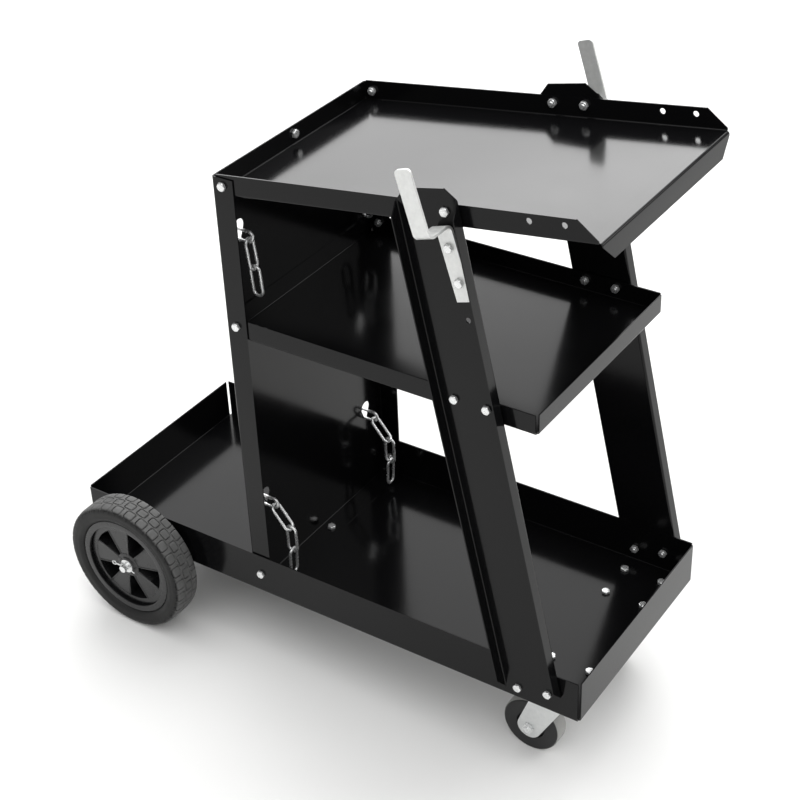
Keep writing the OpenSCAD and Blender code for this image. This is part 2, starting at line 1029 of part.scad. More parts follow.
module caster_fork(side)
{
  head_r = race_d / 2 + crown_rim;
  color([0.70, 0.71, 0.70])
    at_caster(side)
      difference()
      {
        union()
        {
          translate([0, 0, fork_top - fork_t])
            cylinder(r = head_r, h = fork_t);
          for (m = [-1, 1])
            translate([0, m * (fork_in + fork_t) / 2, 0])
              rotate([90, 0, 0])
                linear_extrude(fork_t, center = true)
                  cheek(head_r);
        }
        hole(king_d + 2 * run_gap, 4 * caster_h);
        translate([-caster_trail, 0, caster_axle_z])
          rotate([90, 0, 0])
            hole(caster_axle_d + 2 * run_gap, 2 * caster_plate);
        // Ball track in the upper face
        translate([0, 0, fork_top + side_gap / 2])
          rotate_extrude()
            translate([track_r, 0])
              circle(d = ball_d + side_gap);
      }
}

// Where a line from a point touches a circle, on its left (1) or right (-1)
function touch(centre, r, point, hand) =
  let (to = point - centre, angle = atan2(to[1], to[0]) + hand * acos(r / norm(to)))
  centre + r * [cos(angle), sin(angle)];

// Outline of a cheek in the plane of the wheel, its straight sides tangent to its round end
module cheek(head_r)
{
  front = head_r * cheek_top_share;
  low = fork_top - head_r * cheek_depth_share;
  axle = [-caster_trail, caster_axle_z];
  polygon([
    [-front, fork_top], [front, fork_top], [front, low],
    touch(axle, cheek_r, [front, low], -1), touch(axle, cheek_r, [-front, low], 1), [-front, low]
  ]);
  translate(axle)
    circle(r = cheek_r);
}

module caster_wheel(side)
{
  color([0.45, 0.45, 0.46])
    at_caster(side)
      translate([-caster_trail, 0, caster_axle_z])
        rotate([90, 0, 0])
          difference()
          {
            rotate_extrude($fn = 72)
              caster_wheel_profile();
            hole(caster_axle_d + 2 * run_gap, 4 * caster_w);
          }
}

// Hollow round the hub in each face of a caster wheel: its radius as a share of the
// wheel's radius, and its depth as a share of the wheel's width
hollow_shares = [0.5, 0.2];

module caster_wheel_profile()
{
  r = caster_d / 2;
  hollow_r = r * hollow_shares[0];
  difference()
  {
    union()
    {
      translate([0, -caster_w / 2 + caster_edge])
        square([r, caster_w - 2 * caster_edge]);
      translate([0, -caster_w / 2])
        square([r - caster_edge, caster_w]);
      for (z = [-1, 1])
        translate([r - caster_edge, z * (caster_w / 2 - caster_edge)])
          circle(r = caster_edge);
      translate([0, -fork_in / 2 + side_gap])
        square([caster_axle_d, fork_in - 2 * side_gap]);
    }
    for (z = [-1, 1])
      translate([(hollow_r + caster_axle_d) / 2, z * caster_w / 2])
        square([hollow_r - caster_axle_d, 2 * caster_w * hollow_shares[1]], center = true);
  }
}

module caster_axle(side)
{
  span = fork_in / 2 + fork_t;
  zinc()
    at_caster(side)
      translate([-caster_trail, 0, caster_axle_z])
        rotate([90, 0, 0])
        {
          cylinder(d = caster_axle_d, h = 2 * (span + side_gap + nut_h + bolt_over), center = true);
          for (s = [-1, 1])
            translate([0, 0, s * (span + seat_gap + nut_h / 2)])
              cylinder(d = caster_nut_af / cos(30), h = nut_h, center = true, $fn = 6);
        }
}

// Bolt: head on +Z above its seat at Z = 0, shank down
module bolt(grip)
{
  cylinder(d = bolt_af / cos(30), h = head_h, $fn = 6);
  translate([0, 0, -grip - nut_h - bolt_over])
    cylinder(d = bolt_d, h = grip + nut_h + bolt_over);
}

// Nut with its seat on Z = 0, below
module nut()
{
  translate([0, 0, -nut_h])
    difference()
    {
      cylinder(d = bolt_af / cos(30), h = nut_h, $fn = 6);
      translate([0, 0, nut_h / 2])
        hole(bolt_d, 3 * nut_h);
    }
}

// Grips of the joints: sheets and clearances that each bolt passes through
bottom_in = bottom_w / 2 - sheet_t;
tray_in = tray_w / 2 - sheet_t;
function leg_out(z) = leg_in(z) + sheet_t + seat_gap;

// Side bolts of the right half as [x, z, seat outside, seat inside]
side_bolts = concat(
  [for (p = top_pair) [p[0], p[1], leg_out(p[1]), tray_in]],
  [for (p = middle_pair) [p[0], p[1], leg_out(p[1]), tray_in]],
  [for (p = foot_pair) [p[0], p[1], leg_out(p[1]), bottom_in]],
  [
    [panel_bolt_x, panel_bolt_z, panel_w / 2, tray_in],
    [panel_bolt_x, middle_bolt_z, panel_w / 2, tray_in],
    [panel_bolt_x, panel_foot_z, bottom_w / 2, panel_w / 2 - sheet_t]
  ]
);

module frame_bolts()
{
  zinc()
    standing()
    {
      for (side = [-1, 1])
        on_side(side)
          for (b = side_bolts)
            translate([b[0], -b[2], b[1]])
              rotate([90, 0, 0])
                bolt(b[2] - b[3]);
      translate([panel_front + sheet_gap + sheet_t, 0, panel_bolt_z])
        rotate([0, 90, 0])
          bolt(2 * sheet_t + sheet_gap);
      translate([panel_front + flange_w / 2, 0, 2 * sheet_t])
        bolt(2 * sheet_t);
    }
}

module frame_nuts()
{
  zinc()
    standing()
    {
      for (side = [-1, 1])
        on_side(side)
          for (b = side_bolts)
            translate([b[0], -b[3], b[1]])
              rotate([90, 0, 0])
                nut();
      translate([panel_x, 0, panel_bolt_z])
        rotate([0, 90, 0])
          nut();
      translate([panel_front + flange_w / 2, 0, 0])
        nut();
    }
}

module hook_bolts()
{
  zinc()
    standing()
      for (side = [-1, 1])
        on_side(side)
          for (p = hook_bolt_places)
            translate([p[0], -leg_out(p[1]) - hook_t, p[1]])
              rotate([90, 0, 0])
                bolt(hook_t + sheet_t);
}

module hook_nuts()
{
  zinc()
    standing()
      for (side = [-1, 1])
        on_side(side)
          for (p = hook_bolt_places)
            translate([p[0], -leg_in(p[1]) + seat_gap, p[1]])
              rotate([90, 0, 0])
                nut();
}

module caster_bolts()
{
  zinc()
    standing()
      for (side = [-1, 1], i = [-1, 1], j = [-1, 1])
        translate([caster_x + i * caster_pitch / 2, side * caster_y + j * caster_pitch / 2, sheet_t])
          bolt(sheet_t + plate_t);
}

module caster_nuts()
{
  zinc()
    standing()
      for (side = [-1, 1], i = [-1, 1], j = [-1, 1])
        translate([caster_x + i * caster_pitch / 2, side * caster_y + j * caster_pitch / 2, -plate_t])
          nut();
}

// One chain link along +X from its first to its last hole end, flat in the XY plane
module link()
{
  bend_r = (link_w - wire_d) / 2;
  straight = link_l - 2 * bend_r + wire_d;
  for (m = [0, 1])
    rotate(m * 180)
    {
      translate([straight / 2, 0, 0])
        rotate(-90)
          rotate_extrude(angle = 180)
            translate([bend_r, 0])
              circle(d = wire_d, $fn = 24);
      translate([-straight / 2, bend_r, 0])
        rotate([0, 90, 0])
          cylinder(d = wire_d, h = straight, $fn = 24);
    }
}

// An anchor link lies level in its slot, and the links beside it hang on its lower side
anchor_drop = key_slot_h + link_gap - (link_w - wire_d) / 2;
hang_x = link_l / 2 + wire_d / 2 - (link_w - wire_d) / 2;
hang_z = (link_w - wire_d) / 2 - wire_d - link_gap;

module at_key(z, side)
{
  standing()
    translate([panel_x + sheet_t / 2, side * key_y, z - anchor_drop])
      children();
}

// Links that sit in the keyholes
module chain_anchor_links()
{
  zinc()
    for (z = [key_upper_z, key_lower_z], side = [-1, 1])
      at_key(z, side)
        rotate([90, 0, 0])
          link();
}

// Direction of a link that hangs at an angle, and the middle of each link of a tail
function link_dir(angle) = [sin(angle), 0, -cos(angle)];
function link_at(angles, i) =
  i == 0 ? link_half * link_dir(angles[0])
  : link_at(angles, i - 1) + link_half * link_dir(angles[i - 1])
    + (link_half - wire_d - link_gap) * link_dir(angles[i]);

// Tail of links that hangs from the front end of an anchor link
module chain_tail(z, side, angles)
{
  zinc()
    at_key(z, side)
      translate([hang_x, 0, -hang_z])
        rotate([0, lean, 0])
          for (i = [0 : len(angles) - 1])
            translate(link_at(angles, i))
              rotate([0, 90 - angles[i], 0])
                rotate([i % 2 * 90, 0, 0])
                  link();
}

// Catenary between the rear ends of two anchor links, found by halving an interval
function span_of(a, s) = 2 * a * ln(s / 2 / a + sqrt(s * s / 4 / a / a + 1));
function find_a(s, low, high, steps) =
  steps == 0 ? (low + high) / 2
  : span_of((low + high) / 2, s) < 2 * key_y ? find_a(s, (low + high) / 2, high, steps - 1)
  : find_a(s, low, (low + high) / 2, steps - 1);
function hang(a, s) = [a * ln(s / a + sqrt(s * s / a / a + 1)), sqrt(a * a + s * s)];

// Loop that hangs plumb behind the panel; its end wires lie on the hinge line
module chain_loop(z, count)
{
  a = find_a(count * pitch, key_y / 20, key_y * 20, 40);
  low = hang(a, count * pitch / 2);
  points = [for (i = [0 : count]) hang(a, (i - count / 2) * pitch) - [0, low[1]]];
  first = points[1] - points[0];
  drop = (wire_d + link_gap) / 2 * first[1] / norm(first);
  zinc()
    at_key(z, 0)
      translate([-hang_x, 0, -hang_z])
        rotate([0, lean, 0])
          for (i = [0 : count - 1])
          {
            p = (points[i] + points[i + 1]) / 2;
            d = points[i + 1] - points[i];
            translate([0, p[0], p[1] + drop])
              rotate([atan2(d[1], d[0]), 0, 0])
                rotate([0, 0, 90])
                  rotate([i % 2 * 90 + 90, 0, 0])
                    link();
          }
}

bottom_tray();
rear_panel();
middle_tray();
top_tray();
leg(-1);  // right_leg
leg(1);  // left_leg
cable_hook(-1);  // right_cable_hook
cable_hook(1);  // left_cable_hook
rear_axle();
axle_bracket(-1);  // right_axle_bracket
axle_bracket(1);  // left_axle_bracket
rear_rim(-1);  // right_rear_rim
rear_rim(1);  // left_rear_rim
rear_tyre(-1);  // right_rear_tyre
rear_tyre(1);  // left_rear_tyre
inner_axle_washers();
axle_washer(-1);  // right_axle_washer
axle_washer(1);  // left_axle_washer
cotter_pin(-1);  // right_cotter_pin
cotter_pin(1);  // left_cotter_pin
caster_plate_part(-1);  // right_caster_plate
caster_plate_part(1);  // left_caster_plate
caster_kingpin(-1);  // right_caster_kingpin
caster_kingpin(1);  // left_caster_kingpin
caster_balls(-1);  // right_caster_balls
caster_balls(1);  // left_caster_balls
caster_fork(-1);  // right_caster_fork
caster_fork(1);  // left_caster_fork
caster_wheel(-1);  // right_caster_wheel
caster_wheel(1);  // left_caster_wheel
caster_axle(-1);  // right_caster_axle
caster_axle(1);  // left_caster_axle
frame_bolts();
frame_nuts();
hook_bolts();
hook_nuts();
caster_bolts();
caster_nuts();
chain_anchor_links();
chain_loop(key_upper_z, upper_links);  // upper_chain_loop
chain_loop(key_lower_z, lower_links);  // lower_chain_loop
chain_tail(key_upper_z, -1, upper_tail_angles);  // upper_right_chain_tail
chain_tail(key_upper_z, 1, upper_tail_angles);  // upper_left_chain_tail
chain_tail(key_lower_z, -1, lower_tail_angles);  // lower_right_chain_tail
chain_tail(key_lower_z, 1, lower_tail_angles);  // lower_left_chain_tail
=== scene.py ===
"""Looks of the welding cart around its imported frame.

Metres, in the frame's axes: +X to the front with the swivel casters, +Y to the left, +Z up.
"""

import json
import math

import bmesh
import bpy
import numpy as np
from mathutils import Matrix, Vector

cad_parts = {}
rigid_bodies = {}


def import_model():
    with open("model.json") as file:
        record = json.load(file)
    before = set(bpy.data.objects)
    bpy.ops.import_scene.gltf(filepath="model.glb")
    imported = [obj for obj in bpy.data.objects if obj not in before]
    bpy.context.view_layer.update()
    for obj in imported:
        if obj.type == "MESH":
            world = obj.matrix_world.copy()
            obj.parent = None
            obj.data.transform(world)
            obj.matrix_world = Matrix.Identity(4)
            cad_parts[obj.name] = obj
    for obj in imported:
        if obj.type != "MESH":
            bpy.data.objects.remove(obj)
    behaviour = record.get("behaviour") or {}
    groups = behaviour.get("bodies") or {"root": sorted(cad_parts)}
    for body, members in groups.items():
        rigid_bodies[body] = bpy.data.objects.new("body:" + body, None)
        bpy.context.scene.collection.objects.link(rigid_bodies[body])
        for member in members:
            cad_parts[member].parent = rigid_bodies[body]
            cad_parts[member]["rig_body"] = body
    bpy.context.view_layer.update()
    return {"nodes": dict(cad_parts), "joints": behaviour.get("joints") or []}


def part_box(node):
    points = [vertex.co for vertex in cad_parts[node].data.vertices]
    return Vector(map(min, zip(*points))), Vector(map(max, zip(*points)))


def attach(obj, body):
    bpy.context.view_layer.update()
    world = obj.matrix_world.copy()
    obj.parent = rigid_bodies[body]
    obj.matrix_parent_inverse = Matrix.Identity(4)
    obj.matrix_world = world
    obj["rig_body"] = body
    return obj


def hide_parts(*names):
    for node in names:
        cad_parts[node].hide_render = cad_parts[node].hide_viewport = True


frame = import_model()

MM = 0.001
TAU = 2 * math.pi
# Each side of the cart with its sign along Y
SIDES = {"right": -1.0, "left": 1.0}
X, Y, Z = np.eye(3)

# The trays lean nose up; the casters' swivel axis gives their own up and forward directions
SWIVEL = next(j for j in frame["joints"] if j["name"] == "right_caster_swivel")
TRAY_UP = np.array(SWIVEL["axis"])
TRAY_FORWARD = np.array([TRAY_UP[2], 0.0, -TRAY_UP[0]])


# Materials


def linear(code):
    """An sRGB hex colour such as 1c1c1d as linear RGBA."""
    c = np.array([int(code[i : i + 2], 16) for i in (0, 2, 4)]) / 255
    c = np.where(c <= 0.04045, c / 12.92, ((c + 0.055) / 1.055) ** 2.4)
    return (*c.tolist(), 1.0)


def add(tree, kind, settings=(), inputs=()):
    """A node of that kind; inputs are its sockets' values, or the sockets that feed them."""
    node = tree.nodes.new("ShaderNode" + kind)
    for name, value in dict(settings).items():
        setattr(node, name, value)
    for name, value in dict(inputs).items():
        if isinstance(value, bpy.types.NodeSocket):
            tree.links.new(value, node.inputs[name])
        else:
            node.inputs[name].default_value = value
    return node


def new_material(name, sockets):
    """A material with a Principled shader set so; returns it, its tree, its shader and the socket of
    Object coordinates."""
    made = bpy.data.materials.new(name)
    made.use_nodes = True
    tree = made.node_tree
    shader = tree.nodes["Principled BSDF"]
    for socket, value in sockets.items():
        shader.inputs[socket].default_value = value
    return made, tree, shader, add(tree, "TexCoord").outputs["Object"]


def per(length_mm):
    """Scale of a pattern in Object coordinates whose features are that long."""
    return 1 / (length_mm * MM)


def powder_coat():
    """Polyester powder baked on folded steel: deep gloss black, with the slight waves of
    orange peel every 3 mm and a speck of grit in the film about every 5 mm."""
    made, tree, shader, place = new_material(
        "gloss_black_powder_coat",
        {"IOR": 1.42, "Specular IOR Level": 0.26, "Base Color": linear("0a0a0b")},
    )
    peel = add(tree, "TexNoise", {}, {"Vector": place, "Scale": per(3), "Detail": 1.0})
    grit = add(tree, "TexVoronoi", {}, {"Vector": place, "Scale": per(5)})
    speck = add(tree, "MapRange", {},
                {"Value": grit.outputs["Distance"], "From Min": 0.05, "From Max": 0.16,
                 "To Min": 1.0, "To Max": 0.0})
    height = add(tree, "Math", {"operation": "MULTIPLY_ADD"},
                 {0: speck.outputs[0], 1: 0.6, 2: peel.outputs[0]})
    bump = add(tree, "Bump", {}, {"Height": height.outputs[0], "Strength": 1.0, "Distance": 0.012 * MM})
    haze = add(tree, "TexNoise", {}, {"Vector": place, "Scale": per(60), "Detail": 3.0})
    rough = add(tree, "MapRange", {}, {"Value": haze.outputs[0], "To Min": 0.1, "To Max": 0.17})
    tree.links.new(bump.outputs[0], shader.inputs["Normal"])
    tree.links.new(rough.outputs[0], shader.inputs["Roughness"])
    return made


def patchy(tree, shader, place, colour, roughness, patch_mm, grain_mm, depth_mm):
    """Colour and roughness that drift together between two values from patch to patch, on a fine grain."""
    cloud = add(tree, "TexNoise", {}, {"Vector": place, "Scale": per(patch_mm), "Detail": 4.0})
    tint = add(tree, "Mix", {"data_type": "RGBA"},
               {0: cloud.outputs[0], 6: linear(colour[0]), 7: linear(colour[1])})
    rough = add(tree, "MapRange", {}, {"Value": cloud.outputs[0], "From Min": 0.3, "From Max": 0.7,
                                       "To Min": roughness[0], "To Max": roughness[1]})
    grain = add(tree, "TexNoise", {}, {"Vector": place, "Scale": per(grain_mm), "Detail": 2.0})
    bump = add(tree, "Bump", {}, {"Height": grain.outputs[0], "Strength": 1.0, "Distance": depth_mm * MM})
    tree.links.new(tint.outputs[2], shader.inputs["Base Color"])
    tree.links.new(rough.outputs[0], shader.inputs["Roughness"])
    tree.links.new(bump.outputs[0], shader.inputs["Normal"])


def zinc_plate(name, colour, roughness, grain_mm, metal):
    """Zinc electroplate on steel: pale metal whose film clouds over in patches of about 6 mm, on fine
    tool marks. A plate whose film is thick and milky gets a lower share of metal."""
    made, tree, shader, place = new_material(name, {"Metallic": metal})
    patchy(tree, shader, place, colour, roughness, 6, grain_mm, 0.02)
    return made


def moulded(name, colour, roughness, grain_mm, depth_mm, shine=0.5):
    """Moulded polymer or rubber: one dull colour with a little bloom in patches of about 18 mm, and the
    fine grain of the eroded mould."""
    made, tree, shader, place = new_material(name, {"IOR": 1.5, "Specular IOR Level": shine})
    patchy(tree, shader, place, colour, roughness, 18, grain_mm, depth_mm)
    return made


# The real grain of plated and moulded faces is too fine to show in the render, so it is drawn about a
# millimetre coarse

# Trays, panel, legs and axle brackets
COAT = powder_coat()
# Turned, drawn and cold formed steel with a bright plate, which glints most: axles, washers, pins,
# rivets, balls, chain links and hexagon fasteners
BRIGHT_ZINC = zinc_plate("bright_zinc_hardware", ("d8dadb", "f0f0ef"), (0.2, 0.36), 0.8, 0.75)
# Rolled flat bar with a milky plate, nearly white and dull: cable hooks
BAR_ZINC = zinc_plate("zinc_plated_flat_bar", ("cfd0cf", "eeefed"), (0.4, 0.55), 1.2, 0.5)
# Pressed sheet with a satin plate: caster forks and plates
PRESSED_ZINC = zinc_plate("zinc_plated_pressed_steel", ("d0d2d2", "e9eae9"), (0.3, 0.45), 1.5, 0.8)
# Moulded nylon with a dark sheen: rims of the rear wheels
NYLON = moulded("black_moulded_nylon", ("101011", "161617"), (0.2, 0.3), 0.9, 0.02)
# Moulded rubber, black and dull: tyres of the rear wheels
RUBBER = moulded("black_tyre_rubber", ("101010", "181818"), (0.5, 0.62), 1.4, 0.05, 0.32)
# Moulded hard polymer, dark satin: body of a caster wheel
CASTER_CORE = moulded("dark_caster_polymer", ("161617", "1c1c1d"), (0.4, 0.5), 0.9, 0.02, 0.4)
# Moulded soft rubber, light grey and dull: band round a caster wheel
CASTER_TREAD = moulded("grey_caster_rubber", ("8a8a88", "a3a3a0"), (0.5, 0.62), 1.0, 0.03)


def painted_lit_tread(material, axle, low_mm, high_mm):
    """Lightens the tread of a tyre's rubber from one radius to another about the axle: painted light, a
    grey that stands in for the light falling on the tread."""
    tree = material.node_tree
    shader = tree.nodes["Principled BSDF"]
    black = shader.inputs["Base Color"].links[0].from_socket
    place = next(n for n in tree.nodes if n.type == "TEX_COORD").outputs["Object"]
    flat = add(tree, "VectorMath", {"operation": "MULTIPLY"}, {0: place, 1: (1, 0, 1)})
    middle = (axle[0], 0, axle[2])
    radius = add(tree, "VectorMath", {"operation": "DISTANCE"}, {0: flat.outputs[0], 1: middle})
    outer = add(tree, "MapRange", {}, {"Value": radius.outputs["Value"], "From Min": low_mm * MM,
                                       "From Max": high_mm * MM})
    # Painted light on the tread, its grey varying a little from spot to spot
    lit_mottle = add(tree, "TexNoise", {}, {"Vector": place, "Scale": per(9), "Detail": 3.0})
    grey = add(tree, "Mix", {"data_type": "RGBA"},
               {0: lit_mottle.outputs[0], 6: linear("464645"), 7: linear("606060")})
    tint = add(tree, "Mix", {"data_type": "RGBA"}, {0: outer.outputs[0], 6: black, 7: grey.outputs[2]})
    tree.links.new(tint.outputs[2], shader.inputs["Base Color"])


# Meshes

# Points of a worked out surface, and corners of a CAD mesh, that lie closer than this are one
SAME_POINT, SAME_CORNER = 0.0001 * MM, 0.002 * MM
# Corners of a CAD mesh are compared on a grid this fine, mm
GRID_MM = 0.001
# CAD triangles that turn by less are one face, and edges that turn by more are rounded
ONE_FACE, ROUNDED_FROM = math.radians(0.4), math.radians(32)
# Steps across a rounded edge
EDGE_STEPS = 2
# Edges of a worked out surface that turn by more degrees than this stay sharp
SHARP_FROM = 38
# At this weight the widest face beside a corner rules its shading, so flat sheet shades flat
FACE_WEIGHT = 100


def grid_faces(rows, columns, wrap_rows, wrap_columns):
    """Quads that join neighbours of a grid of points kept row by row, also across its ends where it
    wraps."""
    r, c = np.meshgrid(np.arange(rows if wrap_rows else rows - 1),
                       np.arange(columns if wrap_columns else columns - 1), indexing="ij")
    r2, c2 = (r + 1) % rows, (c + 1) % columns
    corners = [r * columns + c, r * columns + c2, r2 * columns + c2, r2 * columns + c]
    return np.stack(corners, -1).reshape(-1, 4)


def mesh_of(name, grids, sharp=SHARP_FROM):
    """One mesh of closed surfaces. Each grid is (points, wraps by rows, wraps by columns). Points that
    coincide, as at a pole, are merged, and edges sharper than the angle stay sharp."""
    points, faces, start = [], [], 0
    for grid, wrap_rows, wrap_columns in grids:
        rows, columns = grid.shape[:2]
        faces.append(grid_faces(rows, columns, wrap_rows, wrap_columns) + start)
        points.append(grid.reshape(-1, 3))
        start += rows * columns
    mesh = bpy.data.meshes.new(name)
    mesh.from_pydata(np.concatenate(points), [], np.concatenate(faces))
    work = bmesh.new()
    work.from_mesh(mesh)
    bmesh.ops.remove_doubles(work, verts=work.verts, dist=SAME_POINT)
    bmesh.ops.recalc_face_normals(work, faces=work.faces)
    work.to_mesh(mesh)
    work.free()
    mesh.shade_smooth()
    mesh.set_sharp_from_angle(angle=math.radians(sharp))
    return mesh


def piece(name, mesh, material, node):
    """A shown piece that stands for a CAD node, on that node's body."""
    made = bpy.data.objects.new(name, mesh)
    bpy.context.scene.collection.objects.link(made)
    mesh.materials.clear()
    mesh.materials.append(material)
    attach(made, frame["nodes"][node]["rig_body"])
    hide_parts(node)
    return made


def turned(radius, along, origin, axis, start, count):
    """Surface turned about an axis. A point is
    origin + axis * along + radius * (start * cos a + side * sin a),
    where radius and along are arrays over rows, or over rows and angles."""
    a = np.arange(count) * TAU / count
    side = np.cross(axis, start)
    radius = np.broadcast_to(np.asarray(radius, float).reshape(len(radius), -1), (len(radius), count))
    along = np.broadcast_to(np.asarray(along, float).reshape(len(along), -1), (len(along), count))
    ring = start * np.cos(a)[:, None] + side * np.sin(a)[:, None]
    return origin + axis * along[..., None] + ring * radius[..., None]


def tube(path, radius, sides, closed=True):
    """Round tube on a path of points: a ring stands square to the path at each one, and starts in the
    plane that the path lies nearest to. radius is one value for each point."""
    if closed:
        tangent = np.roll(path, -1, 0) - np.roll(path, 1, 0)
    else:
        tangent = np.gradient(path, axis=0)
    tangent /= np.linalg.norm(tangent, axis=1)[:, None]
    flat = np.linalg.svd(path - path.mean(0), full_matrices=False)[2][2]
    across = np.cross(tangent, flat)
    across /= np.linalg.norm(across, axis=1)[:, None]
    normal = np.cross(across, tangent)
    a = np.arange(sides) * TAU / sides
    ring = across[:, None] * np.cos(a)[None, :, None] + normal[:, None] * np.sin(a)[None, :, None]
    return path[:, None] + ring * np.asarray(radius)[:, None, None]


def capped(grid):
    """The grid with its two end rings closed by a pole each."""
    ends = [np.broadcast_to(grid[e].mean(0), grid[e].shape)[None] for e in (0, -1)]
    return np.concatenate([ends[0], grid, ends[1]])


def loose_parts(node):
    """Corner points of each separate solid of a CAD node: triangles that share a corner take the lowest
    label among them until nothing changes."""
    mesh = frame["nodes"][node].data
    co = np.zeros(len(mesh.vertices) * 3)
    mesh.vertices.foreach_get("co", co)
    steps = np.round(co.reshape(-1, 3) / (GRID_MM * MM)).astype(int)
    co, index = np.unique(steps, axis=0, return_inverse=True)
    loops = np.zeros(len(mesh.loops), int)
    mesh.loops.foreach_get("vertex_index", loops)
    triangles = index.ravel()[loops].reshape(-1, 3)
    label = np.arange(len(co))
    while True:
        lowest = label[triangles].min(1)
        after = label.copy()
        for k in range(3):
            np.minimum.at(after, triangles[:, k], lowest)
        after = after[after]
        if (after == label).all():
            break
        label = after
    return [co[label == v] * GRID_MM * MM for v in np.unique(label)]


def rounded_copy(node, material, edge_mm):
    """The CAD node's own surface with its corners merged, its triangles joined to flat faces, and its
    edges rounded by a bevel."""
    mesh = frame["nodes"][node].data.copy()
    work = bmesh.new()
    work.from_mesh(mesh)
    bmesh.ops.remove_doubles(work, verts=work.verts, dist=SAME_CORNER)
    bmesh.ops.dissolve_limit(work, angle_limit=ONE_FACE, verts=work.verts, edges=work.edges,
                             use_dissolve_boundaries=False)
    work.to_mesh(mesh)
    work.free()
    mesh.shade_smooth()
    made = piece(node + "_rounded", mesh, material, node)
    bevel = made.modifiers.new("rounded edges", "BEVEL")
    bevel.width = edge_mm * MM
    bevel.segments = EDGE_STEPS
    bevel.limit_method = "ANGLE"
    bevel.angle_limit = ROUNDED_FROM
    flat = made.modifiers.new("flat faces", "WEIGHTED_NORMAL")
    flat.keep_sharp = True
    flat.weight = FACE_WEIGHT


def profile(points, radius_mm, steps=4):
    """A closed outline of (radius, along) corners in mm, each rounded by a short curve between points
    that lie radius_mm before and after it, or nearer where a side is short."""
    p = np.array(points, float) * MM
    before, after = np.roll(p, 1, 0) - p, np.roll(p, -1, 0) - p
    la, lb = np.linalg.norm(before, axis=1), np.linalg.norm(after, axis=1)
    cut = np.minimum(radius_mm * MM, np.minimum(la, lb) * 0.45)
    a, b = p + before * (cut / la)[:, None], p + after * (cut / lb)[:, None]
    t = np.linspace(0, 1, steps + 1)[None, :, None]
    curve = a[:, None] * (1 - t) ** 2 + p[:, None] * 2 * t * (1 - t) + b[:, None] * t**2
    return curve.reshape(-1, 2)


def smooth(value, low, high):
    """0 below low, 1 above high, and an even S between them."""
    t = np.clip((value - low) / (high - low), 0, 1)
    return t * t * (3 - 2 * t)


# Folded sheet, flat bar and brackets

# Radius of the rounded edges of each kind of piece, mm
SHEET_EDGE, BAR_EDGE, WASHER_EDGE, AXLE_EDGE = 0.6, 0.5, 0.25, 0.7
PRESSED_EDGE, PLATE_EDGE, RIVET_EDGE = 0.5, 0.4, 0.5

for name in ("bottom_tray", "rear_panel", "middle_tray", "top_tray", "right_leg", "left_leg",
             "right_axle_bracket", "left_axle_bracket"):
    rounded_copy(name, COAT, SHEET_EDGE)
for side in SIDES:
    rounded_copy(f"{side}_cable_hook", BAR_ZINC, BAR_EDGE)


# Rear wheels

# Tread blocks round the tyre, and points round it for each of them
BLOCKS_ROUND, STEPS_PER_BLOCK = 29, 26
# Rows of blocks, numbered from the middle, and the distance between them
BLOCK_ROWS = (-1, 0, 1)
ROW_PITCH = 14.6 * MM
# Half length, half width and corner radius of a block
BLOCK_LONG, BLOCK_WIDE, BLOCK_CORNER = 6.2 * MM, 5.3 * MM, 2.2 * MM
# Groove that rings a block: its width, its depth and the width of its sloping walls
GROOVE_WIDTH, GROOVE_DEPTH, GROOVE_SLOPE = 1.7 * MM, 2.0 * MM, 0.5 * MM
# Points lie this many mm apart across the tread and round the rest of the section
TREAD_STEP, SIDE_STEP = 0.5, 2.4
# Radii beyond which the section is tread, and beyond which it is sidewall with its rings
TREAD_FROM, SIDEWALL_FROM = 93.5 * MM, 75 * MM
# Notches in the shoulders: depth, half width at the bottom and half width at the top
NOTCH_DEPTH, NOTCH_BOTTOM, NOTCH_TOP = 1.3 * MM, 0.9 * MM, 1.9 * MM
# Radii, and distances from the tyre's middle, over which the notches fade in
SHOULDER_RADII, SHOULDER_REACH = (89 * MM, 92 * MM), (19.5 * MM, 20.8 * MM)
# Thin rings on each sidewall: radii, half width and height
SIDE_RINGS, RING_WIDTH, RING_HEIGHT = (79.5 * MM, 87.5 * MM), 0.9 * MM, 0.5 * MM
# How far the outline's corners are rounded in mm, steps across each, and from how many degrees an edge
# stays sharp
TYRE_ROUND, TYRE_ROUND_STEPS, TYRE_SHARP = 3.0, 5, 50
# Closed outline of the tyre as (radius, place along the axle) in mm
TYRE_SECTION = [(73.2, -18.5), (77.0, -21.6), (81.5, -22.4), (90.0, -22.4), (94.6, -20.4), (96.0, -14.0),
                (96.0, 14.0), (94.6, 20.4), (90.0, 22.4), (81.5, 22.4), (77.0, 21.6), (73.2, 18.5)]


